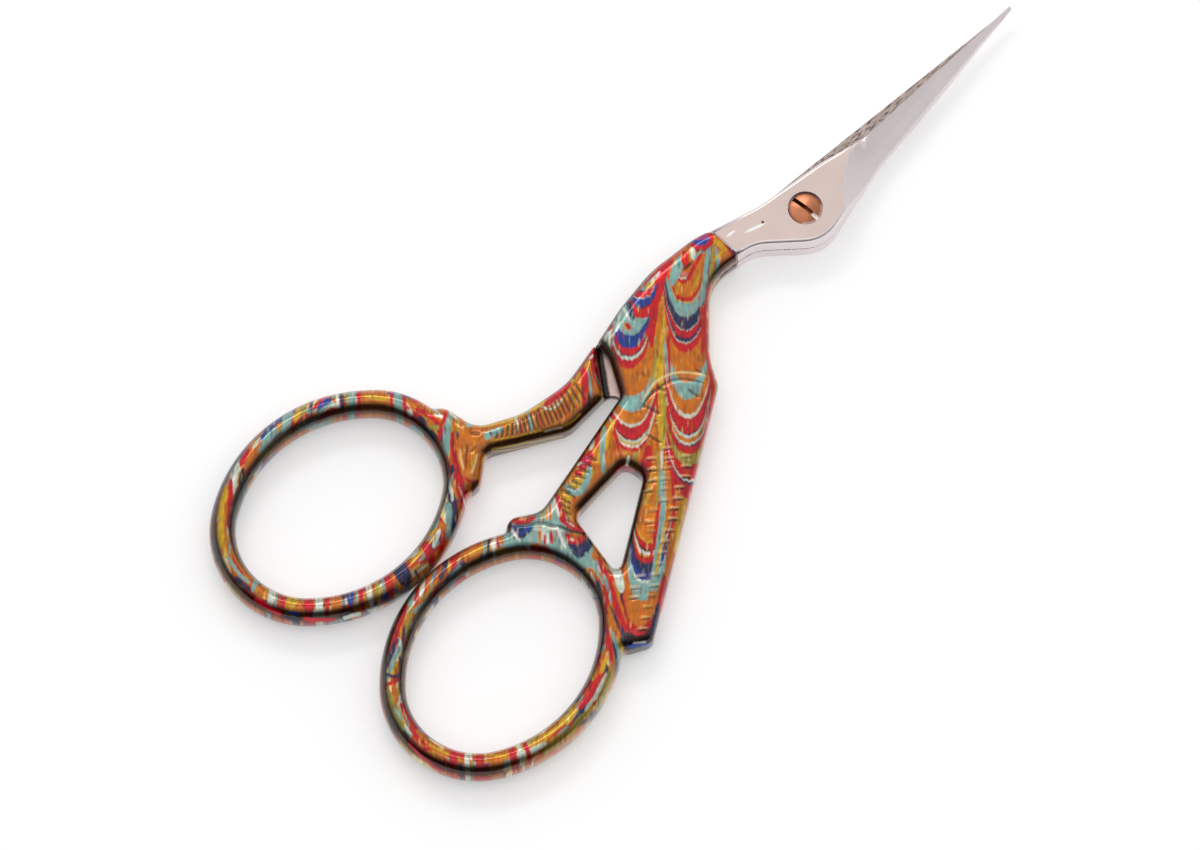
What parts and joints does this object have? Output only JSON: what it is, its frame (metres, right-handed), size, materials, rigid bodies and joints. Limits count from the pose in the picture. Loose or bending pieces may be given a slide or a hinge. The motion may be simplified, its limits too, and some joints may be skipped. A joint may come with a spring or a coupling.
{
  "type": "embroidery scissors",
  "caption": "Small scissors shaped like a stork: the bill forms two slender blades, the body and legs form the marbled handles, which end in oval finger rings.",
  "frame": {"origin": "on the pivot axis at the back face, where the scissors lie flat", "axes": "+X from the pivot to the blade tips, +Y towards the bird's back, +Z out of the front face along the pivot screw"},
  "size_m": [0.0973, 0.0444, 0.0041],
  "materials": {
    "blade_steel": "satin-polished forged steel, ground on the blades",
    "marbled_lacquer": "glossy marbled lacquer in red, orange, gold, aqua and navy over bright metal",
    "screw_steel": "copper-toned turned screw"
  },
  "bodies": {
    "rear": {"rear_half": "blade_steel", "rear_handle_lacquer": "marbled_lacquer", "pivot_screw": "screw_steel"},
    "front": {"front_half": "blade_steel", "front_handle_lacquer": "marbled_lacquer"}
  },
  "joints": [
    {"name": "pivot", "type": "hinge", "parent": "rear", "child": "front", "pos_m": [0, 0, 0], "axis": [0, 0, 1], "range_deg": [0, 65]}
  ]
}
